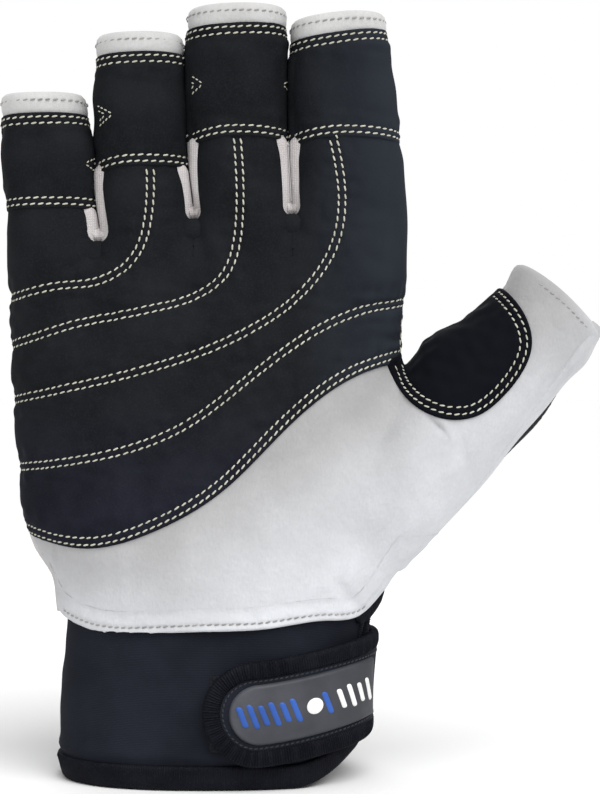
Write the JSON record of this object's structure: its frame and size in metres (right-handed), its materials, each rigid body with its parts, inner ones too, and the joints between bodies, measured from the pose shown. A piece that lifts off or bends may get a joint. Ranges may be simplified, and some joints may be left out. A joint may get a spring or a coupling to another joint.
{
  "type": "short-finger sailing glove",
  "caption": "Right-hand short-finger sailing glove: quilted palm overlay, finger wraps, thumb crotch patch, neoprene cuff and wrap-over closure strap.",
  "frame": {"origin": "centre of the cuff's bottom rim, on the face it stands on", "axes": "+Z along the fingers, -Y out of the palm, +X towards the thumb"},
  "size_m": [0.1575, 0.0594, 0.1995],
  "materials": {
    "suede_grey": "napped synthetic suede",
    "suede_hem": "turned and stitched suede edge",
    "quilted_black": "dense black microfibre, quilted with contrast thread",
    "stretch_black": "four-way stretch knit",
    "fourchette_knit": "soft white knit",
    "neoprene": "nylon-faced neoprene",
    "binding_tape": "overlocked edge tape",
    "loop_fabric": "brushed loop pile",
    "hook_plastic": "moulded nylon hooks",
    "badge_rubber": "moulded soft rubber",
    "emblem_rubber": "raised coloured relief on the badge",
    "thread_cream": "bonded contrast thread"
  },
  "bodies": {
    "hand": {"cuff_band": "neoprene", "cuff_binding": "binding_tape", "slit_binding": "binding_tape", "loop_field": "loop_fabric", "strap_anchor": "neoprene", "pull_tab": "binding_tape", "palm_panel": "suede_grey", "palm_hem": "suede_hem", "palm_overlay": "quilted_black", "back_panel": "stretch_black", "side_panel": "suede_grey", "web_little_ring": "fourchette_knit", "web_ring_middle": "fourchette_knit", "web_middle_index": "fourchette_knit", "crotch_patch": "quilted_black"},
    "finger_little": {"little_front": "suede_grey", "little_back": "stretch_black", "little_fourchettes": "fourchette_knit", "little_tongue": "quilted_black", "little_wrap": "quilted_black", "little_hem": "suede_hem"},
    "finger_ring": {"ring_front": "suede_grey", "ring_back": "stretch_black", "ring_fourchettes": "fourchette_knit", "ring_tongue": "quilted_black", "ring_wrap": "quilted_black", "ring_hem": "suede_hem"},
    "finger_middle": {"middle_front": "suede_grey", "middle_back": "stretch_black", "middle_fourchettes": "fourchette_knit", "middle_tongue": "quilted_black", "middle_wrap": "quilted_black", "middle_hem": "suede_hem"},
    "finger_index": {"index_front": "suede_grey", "index_back": "stretch_black", "index_fourchettes": "fourchette_knit", "index_tongue": "quilted_black", "index_wrap": "quilted_black", "index_hem": "suede_hem"},
    "thumb": {"thumb_front": "suede_grey", "thumb_back": "stretch_black", "thumb_patch": "quilted_black", "thumb_hem": "suede_hem", "thumb_seam_strip": "suede_hem"},
    "strap": {"strap_band": "neoprene", "strap_edge": "binding_tape", "strap_hook_pad": "hook_plastic", "strap_badge": "badge_rubber"}
  },
  "joints": [
    {"name": "little_flex", "type": "hinge", "parent": "hand", "child": "finger_little", "pos_m": [-0.0432, -0.0116, 0.1377], "axis": [1, 0, 0], "range_deg": [0, 60], "stiffness_Nm_per_rad": 0.02},
    {"name": "ring_flex", "type": "hinge", "parent": "hand", "child": "finger_ring", "pos_m": [-0.0194, -0.0128, 0.1417], "axis": [1, 0, 0], "range_deg": [0, 60], "stiffness_Nm_per_rad": 0.02},
    {"name": "middle_flex", "type": "hinge", "parent": "hand", "child": "finger_middle", "pos_m": [0.0053, -0.0132, 0.1447], "axis": [1, 0, 0], "range_deg": [0, 60], "stiffness_Nm_per_rad": 0.02},
    {"name": "index_flex", "type": "hinge", "parent": "hand", "child": "finger_index", "pos_m": [0.0334, -0.013, 0.1457], "axis": [1, 0, 0], "range_deg": [0, 60], "stiffness_Nm_per_rad": 0.02},
    {"name": "thumb_flex", "type": "hinge", "parent": "hand", "child": "thumb", "pos_m": [0.06308, -0.0198, 0.09533], "axis": [0.809, 0, -0.5878], "range_deg": [0, 35], "stiffness_Nm_per_rad": 0.03},
    {"name": "strap_open", "type": "hinge", "parent": "hand", "child": "strap", "pos_m": [0.0428, -0.0036, 0.0225], "axis": [0, 0, 1], "range_deg": [0, 110]}
  ]
}
